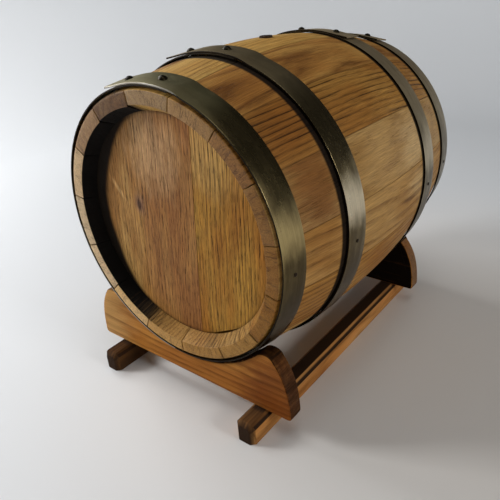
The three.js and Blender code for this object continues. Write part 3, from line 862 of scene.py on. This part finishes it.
def hoop(node, end, seed):
    """Builds one hoop and returns how much its strip leans in towards the head."""
    low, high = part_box(node)
    headward = max(abs(low.y - MIDDLE_Y), abs(high.y - MIDDLE_Y))
    bilgeward = min(abs(low.y - MIDDLE_Y), abs(high.y - MIDDLE_Y))
    at_head = min(radii_at([node], MIDDLE_Y + end * headward))
    at_bilge = min(radii_at([node], MIDDLE_Y + end * bilgeward))
    width = headward - bilgeward
    section = rounded([
        (0, 0, 0.25 * MM), (width, 0, 0.25 * MM),
        (width, HOOP_THICKNESS, 0.45 * MM), (width * 0.66, HOOP_THICKNESS, 0),
        (width * 0.33, HOOP_THICKNESS, 0), (0, HOOP_THICKNESS, 0.45 * MM),
    ], 3)
    loops = []
    steps = 240
    for i in range(steps + 1):
        angle = mix(LAP_OUTER, 360 + LAP_INNER, i / steps)
        turn = radians(angle)
        offset = lap_offset(angle) if angle < 180 else 0.0
        uneven = HOOP_WOBBLE * noise.noise(Vector((sin(turn) * 3, cos(turn) * 3, seed)))
        loop = []
        for p in section:
            share = p.x / width
            radius = mix(at_head, at_bilge, share) + p.y + offset + uneven
            station = mix(headward, bilgeward, share)
            loop.append(on_axis(-end * turn, end * station, radius))
        loops.append(loop)
    made = piece(f"{node}_strip", loft(loops), HOOP_METALS[node], "barrel", node)
    made.data.materials.append(EDGE_SHADE_METAL)
    made.data.materials.append(EDGE_HIGHLIGHT_METAL)
    for face in made.data.polygons:
        if abs(face.normal.y) < 0.4:
            continue
        angle, _, radius = around(face.center)
        angle = -end * degrees(angle)
        # the lap's edges and the front hoop's forward edge on the left carry a painted highlight, all other
        # edges painted shade
        lapped = radius > at_head + 1.6 * MM and abs(angle) < LAP_SIDES
        highlit = end * face.normal.y > 0 and LIT_EDGE_FROM < angle < LIT_EDGE_TO
        face.material_index = 2 if node == "front_head_hoop" and (lapped or highlit) else 1

    def grain(point):
        angle, station, radius = around(point)
        along = degrees(angle) * DEGREE * MM
        return along, abs(station) - bilgeward, radius * 0.2, Vector((1, 0, 0))

    paint(made, grain)
    return atan2(at_bilge - at_head, width)


def facing(angle, lean):
    """Turns +Z to the outward normal of a hoop at that angle round the barrel."""
    return Matrix.Rotation(angle, 3, "Y") @ Matrix.Rotation(lean, 3, "X")


def stud(node, profile, material, lean, count, wobble, seed):
    """A rivet or a nail, turned about its own axis and level with the CAD's crown."""
    low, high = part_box(node)
    turn = facing(around((low + high) / 2)[0], lean)
    out = turn @ Vector((0, 0, 1))
    spots = corners_of(node)
    top = max(p.dot(out) for p in spots)
    mean = sum(spots, Vector()) / len(spots)
    crown = mean + out * (top - mean.dot(out))
    profile = [(radius * MM, height * MM) for radius, height in profile]
    shape = lathe(crown, profile, count, turn, wobble, seed)
    made = piece(f"{node}_dome", shape, material, "barrel", node)
    paint(made, lambda p: (p.x, p.y, p.z, Vector((0, 0, 1))))


# (radius, height from the crown) in mm
RIVET = [(0.2, -4.6), (1.4, -4.6), (1.4, -2.5), (3.2, -2.45), (3.5, -2.25), (3.4, -1.95), (2.8, -1.2),
         (2.0, -0.6), (1.2, -0.22), (0.5, -0.04), (0.15, 0.0)]
NAIL = [(0.2, -8.0), (0.75, -7.0), (0.75, -0.75), (1.6, -0.7), (1.7, -0.5), (1.45, -0.2), (0.9, -0.05),
        (0.2, 0.0)]


def add_hoops():
    rivet_metal = metal("rivet_metal", srgb(46, 40, 28), srgb(30, 25, 18), srgb(90, 80, 60), rough=0.42)
    nail_metal = metal("nail_metal", srgb(60, 50, 40), srgb(44, 36, 28), srgb(96, 84, 70), rough=0.5)
    for count, node in enumerate(HOOPS, 1):
        end = ENDS[node.split("_")[0]]
        seed = 3 * count
        lean = -end * hoop(node, end, seed)
        for i in (1, 2):
            stud(f"{node}_rivet_{i}", RIVET, rivet_metal, lean, 24, 0.08, seed + i)
        stud(f"{node}_nail", NAIL, nail_metal, lean, 16, 0.1, seed)


# ---- bung ----
def add_bung():
    height = BUNG_HIGH.z - BUNG_LOW.z
    corner = 0.5 * MM
    profile = [(0.3 * MM, -height), (BUNG_TIP - corner, -height), (BUNG_TIP, corner - height)]
    steps = 10
    for i in range(1, steps + 1):
        t = i / steps
        profile.append((mix(BUNG_TIP, BUNG_TOP, t), mix(corner - height, -0.7 * MM, t)))
    profile += [(BUNG_TOP - 0.15 * MM, -0.3 * MM), (BUNG_TOP - 0.6 * MM, 0.0)]
    profile += [(BUNG_TOP * 0.6, 0.0), (0.3 * MM, 0.0)]
    crown = Vector((BUNG_CENTRE.x, BUNG_CENTRE.y, BUNG_HIGH.z))
    shape = lathe(crown, profile, 48, wobble=0.012)
    material = wood("bung_wood", srgb(74, 50, 28), srgb(58, 38, 20), srgb(34, 20, 8), pith=(6, 30),
                    period=1.9, lines=0.6, seed=31.0, rough=0.6, end_tone=srgb(48, 34, 22))
    made = piece("bung_plug", shape, material, "bung", "bung")
    paint(made, lambda p: (p.z, p.x, p.y, Vector((0, 0, 1))))


# ---- stand ----
TIP_HEIGHT, TIP_RISE = 56.4 * MM, 3 * MM
SADDLES = {  # radius, and height of its centre
    "front_cradle": (122.5 * MM, AXIS_Z + 1.6 * MM),
    "rear_cradle": (127.4 * MM, AXIS_Z + 0.2 * MM),
}


def bezier(a, b, c, d, steps):
    """Points of a cubic curve after its first point."""
    points = []
    for i in range(1, steps + 1):
        t = i / steps
        points.append(a * (1 - t) ** 3 + b * 3 * t * (1 - t) ** 2 + c * 3 * t * t * (1 - t) + d * t ** 3)
    return points


def cradle_outline(node):
    low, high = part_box(node)
    radius, saddle_z = SADDLES[node]
    middle = (low.x + high.x) / 2
    half = (high.x - low.x) / 2
    tip_z = low.z + TIP_HEIGHT
    reach = sqrt(radius ** 2 - (saddle_z - tip_z) ** 2)

    def horn(side):
        """One side of the board, from the foot up to the tip, where the saddle meets it."""
        def at(inward, height):
            return Vector((middle + side * (half - inward * MM), low.z + height * MM))

        tip = Vector((AXIS_X + side * reach, tip_z))
        handle = tip + Vector((side * TIP_RISE * (saddle_z - tip_z) / reach, TIP_RISE))
        points = [at(4, 0)]
        points += bezier(at(4, 0), at(1.5, 0), at(0, 1.5), at(0, 4), 5)
        points += bezier(at(0, 4), at(0.5, 25), at(4, 41), at(14.5, 54), 16)
        points += bezier(at(14.5, 54), at(18, 61), handle, tip, 12)
        return points

    saddle = []
    start = atan2(tip_z - saddle_z, reach)
    steps = 60
    for i in range(1, steps):
        a = mix(start, -pi - start, i / steps)
        saddle.append(Vector((AXIS_X + radius * cos(a), saddle_z + radius * sin(a))))
    return horn(1) + saddle + horn(-1)[::-1]


def drawn_in(outline, distance):
    """The outline moved inwards by a distance; it runs anticlockwise."""
    moved = []
    count = len(outline)
    for i, here in enumerate(outline):
        before = (here - outline[i - 1]).normalized()
        after = (outline[(i + 1) % count] - here).normalized()
        normal = Vector((-(before.y + after.y), before.x + after.x))
        if normal.length < 1e-9:
            normal = Vector((-before.y, before.x))
        normal.normalize()
        stretch = max(normal.dot(Vector((-before.y, before.x))), 0.5)
        moved.append(here + normal * distance / stretch)
    return moved


def stand_piece(node, kind, rims, outline_at, look):
    """A piece of the stand, skinned along Y. rims are (way in from each end, inset)."""
    low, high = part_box(node)
    sections = [(low.y + way, inset) for way, inset in rims]
    sections += [(high.y - way, inset) for way, inset in reversed(rims)]
    loops = [[Vector((p.x, y, p.y)) for p in outline_at(inset)] for y, inset in sections]
    material = wood(f"pine_{node}", **look)
    return piece(f"{node}_{kind}", loft(loops), material, "stand", node, sharp=50)


def add_cradle(node, look, face_shade=0.0, side_darkening=0.58):
    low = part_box(node)[0]
    outline = cradle_outline(node)
    edge = 1.6 * MM
    steps = 5
    rims = [(0.0, edge + 0.8 * MM)]
    for i in range(steps + 1):
        t = i / steps * pi / 2
        rims.append((edge * (1 - cos(t)), edge * (1 - sin(t))))
    made = stand_piece(node, "board", rims, lambda inset: drawn_in(outline, inset), look)

    def shade_and_soot(point, normal):
        """The horns and the saddle are darkened, partly scorched and partly painted shade under the barrel,
        the broad faces only at their edges; face_shade paints shadow on a broad face.
        """
        if abs(normal.y) > 0.9:
            return face_shade if normal.y < 0 else face_shade * 0.3
        worn = 0.5 + 0.5 * noise.noise(point * 90)  # patches about a centimetre across
        outer_side = abs(normal.x) > 0.7 and abs(point.x) > 100 * MM
        if outer_side:
            return side_darkening * (0.8 + 0.2 * worn)
        return (0.5 + 0.35 * worn) * smooth((point.z - low.z) / (26 * MM))

    paint(made, lambda p: (p.x, p.z - low.z, p.y - low.y, Vector((1, 0, 0))), None, shade_and_soot)


def add_rail(node, look, side_darkening=0.0):
    low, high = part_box(node)
    half = (high.x - low.x) / 2
    middle = (low.x + high.x) / 2
    chamfer = 4 * MM
    soft = 0.7 * MM

    def outline(inset):
        wide, narrow = half - inset, half - chamfer - inset * 0.4
        eave, top = high.z - chamfer - inset, high.z - inset
        right = [(wide, low.z, soft), (wide, eave, soft)]
        right += [(mix(wide, narrow, t), mix(eave, top, t), 0) for t in (0.35, 0.6)]
        right.append((narrow, top, soft))
        left = [(-x, z, radius) for x, z, radius in reversed(right)]
        return rounded([(middle + x, z, radius) for x, z, radius in right + left])

    rims = [(0.0, chamfer + soft), (0.0, chamfer), (0.15 * MM, chamfer - 0.3 * MM)]
    rims += [(chamfer - 0.3 * MM, 0.15 * MM), (chamfer, 0.02 * MM), (chamfer + soft, 0.0)]
    rims += [(way * MM, 0.0) for way in (10, 18, 26, 34)]  # where the painted shade on the top fades
    made = stand_piece(node, "bar", rims, outline, look)

    def shade_and_soot(point, normal):
        """The top is painted shadow of the barrel, nearly black, and lighter at the front where it comes
        out from under the barrel; the ends are nearly black, the chamfers paler above a dark line.
        """
        drop = (high.z - point.z) / chamfer
        lit_front = smooth((low.y + 30 * MM - point.y) / (14 * MM))  # painted light at the front, out of the barrel's shade
        top = mix(0.93, 0.66, lit_front) * (1 - smooth(drop / 0.16))
        slope = mix(0.46, 0.66, lit_front) * (1 - smooth((drop - 0.8) / 0.2))
        line = 0.85 * smooth((drop - 0.3) / 0.4) * (1 - smooth((drop - 1.02) / 0.16))
        facing_end = smooth((abs(normal.y) - 0.3) / 0.4)
        end = mix(0.68, 0.85, smooth((abs(normal.y) - 0.75) / 0.2)) * facing_end
        return max(top, slope, line * (1 - facing_end), end, side_darkening)

    paint(made, lambda p: (p.y, p.x - middle, high.z - p.z, Vector((0, 1, 0))), None, shade_and_soot)


def add_stand():
    stain = dict(light=srgb(192, 130, 58), warm=srgb(166, 104, 42), dark=srgb(92, 44, 12), lines=0.6,
                 pores=0.1, end_tone=srgb(92, 60, 38), fibre=0.1, crisp=0.25, ribs=0.7,
                 dirt=srgb(38, 22, 11), gloss=0.05)
    # painted light on the left horn and painted shade on the right one, which the light from the left
    # leaves in shadow
    painted_light_and_shade = [
        ((-112, 30), (46, 70), 0, srgb(194, 148, 86), 0.85),
        ((100, 22), (46, 60), 0, srgb(112, 52, 18), 0.75),
    ]
    front = dict(stain, pith=(46, -24), drift=(0.06, 0.05), period=5.6, seed=41.0, wave=1.2,
                 patches=painted_light_and_shade)
    rear = dict(stain, pith=(30, -20), drift=(-0.03, 0.03), period=5.0, seed=42.0, wave=1.2,
                dirt=srgb(20, 11, 4), end_tone=srgb(120, 92, 68))
    add_cradle("front_cradle", front)
    # the rear cradle's front face lies in the barrel's shadow: painted shadow
    add_cradle("rear_cradle", rear, face_shade=0.85, side_darkening=0.1)
    stain.update(dirt=srgb(54, 38, 26), ribs=0.25, period=4.0, wave=1.0)
    # the left rail is darkened all over: painted shade, as it lies under the cradles and the barrel
    add_rail("left_rail", dict(stain, pith=(30, 12), seed=43.0), side_darkening=0.7)
    # the right rail's paler colours are painted light: the same pine as the left rail, lit from the right
    add_rail("right_rail", dict(stain, pith=(-26, 16), seed=44.0, light=srgb(218, 158, 90),
                                warm=srgb(202, 136, 70)))


# ---- inner pieces that keep their CAD shape ----
def add_hidden():
    dowel = Shader("dowel_wood")
    streak = dowel.noise(dowel.own_place(), (60.0, 900.0, 900.0), detail=2)
    dowel_material = dowel.finish(dowel.blend(streak, srgb(206, 172, 122), srgb(178, 140, 92)), 0.6, streak)
    screw = Shader("screw_metal")
    dull = screw.noise(screw.own_place(), (400.0, 400.0, 400.0), detail=3)
    screw_material = screw.finish(screw.blend(dull, srgb(186, 184, 170), srgb(150, 146, 128)),
                                  screw.span(dull, 0.3, 0.7, 0.3, 0.45), dull, 0.02 * MM, Metallic=1.0)
    for name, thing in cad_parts.items():
        if "dowel" in name or name.endswith("_screw"):
            material = dowel_material if "dowel" in name else screw_material
            for slot in thing.material_slots:
                slot.material = material
            if not thing.material_slots:
                thing.data.materials.append(material)


# ---- floor, light and camera ----
FLOOR_FLAT, FLOOR_CURVE, FLOOR_TURN = 0.9, 0.6, 72  # a disc that curves up all round


def add_floor():
    s = Shader("floor")
    where = s.own_place()
    mottle = s.noise(where, (3.0, 3.0, 3.0), detail=3)
    fleck = s.noise(where, (240.0, 240.0, 240.0), detail=2)
    away = s.node("VectorMath", where, (0.25, 0.05, 0.0), operation="DISTANCE").outputs["Value"]
    # warmer near the barrel as painted bounce light from the wood, cooler further out
    paper_and_warm_bounce = s.blend(s.span(away, 0.05, 0.55), srgb(229, 223, 215), srgb(220, 223, 226))
    s.finish(s.blend(s.times(mottle, 0.3), paper_and_warm_bounce, srgb(230, 230, 230)), 0.55, fleck, 0.02 * MM)
    profile = [(0.01, 0.0), (FLOOR_FLAT * 0.5, 0.0)]
    steps = 24
    for i in range(steps + 1):
        turn = radians(FLOOR_TURN) * i / steps
        profile.append((FLOOR_FLAT + FLOOR_CURVE * sin(turn), FLOOR_CURVE * (1 - cos(turn))))
    points, faces = loft([ring(Vector(), radius, height, 96) for radius, height in profile])
    floor = skinned("floor", points, faces[:-1])  # without the lid that loft() adds at the rim
    floor.data.shade_smooth()
    floor.data.materials.append(s.material)


AIM = Vector((0, 0, 0.12))  # what the lamps point at


def add_light(name, bearing, height, distance, size, power):
    """A soft square lamp. Bearing 0 is beyond the barrel along +Y, 90 is +X."""
    data = bpy.data.lights.new(name, "AREA")
    data.shape = "SQUARE"
    data.size = size
    data.energy = power
    bearing, height = radians(bearing), radians(height)
    level = cos(height)
    way = Vector((sin(bearing) * level, cos(bearing) * level, sin(height)))
    lamp = placed(name, data)
    lamp.location = AIM + way * distance
    lamp.rotation_mode = "QUATERNION"
    lamp.rotation_quaternion = way.to_track_quat("Z", "Y")


def add_world():
    world = bpy.data.worlds.new("studio")
    bpy.context.scene.world = world
    world.use_nodes = True
    tree = world.node_tree
    background = next(n for n in tree.nodes if n.type == "BACKGROUND")
    background.inputs["Color"].default_value = (1.0, 1.0, 1.0, 1)
    # above the floor's rim the room looks pale, but it gives hardly any light
    seen = tree.nodes.new("ShaderNodeLightPath")
    strength = tree.nodes.new("ShaderNodeMath")
    strength.operation = "MULTIPLY_ADD"
    tree.links.new(seen.outputs["Is Camera Ray"], strength.inputs[0])
    strength.inputs[1].default_value = 0.6
    strength.inputs[2].default_value = 0.03
    tree.links.new(strength.outputs[0], background.inputs["Strength"])


def add_camera():
    """Stands where a perspective fit to the photo put it."""
    data = bpy.data.cameras.new("camera")
    data.sensor_width = 36
    data.lens = 38.15
    data.shift_x, data.shift_y = -0.031, -0.0026
    camera = placed("camera", data)
    camera.location = (0.306, -0.3986, 0.3425)
    right = Vector((0.79869, 0.59886, -0.05875))
    up = Vector((-0.23040, 0.39454, 0.88953))
    camera.rotation_mode = "QUATERNION"
    camera.rotation_quaternion = Matrix((right, up, right.cross(up))).transposed().to_quaternion()
    bpy.context.scene.camera = camera


add_staves()
add_heads()
add_hoops()
add_bung()
add_stand()
add_hidden()
add_floor()
add_light("window", 238, 24, 1.5, 0.36, 12.5)
add_light("left_panel", 272, 38, 1.7, 0.8, 13)
add_light("right_panel", 91, 24, 2.2, 0.4, 12)
add_light("top_panel", 120, 76, 2.0, 1.0, 6.5)
add_world()
add_camera()
bpy.context.scene.view_settings.view_transform = "Standard"
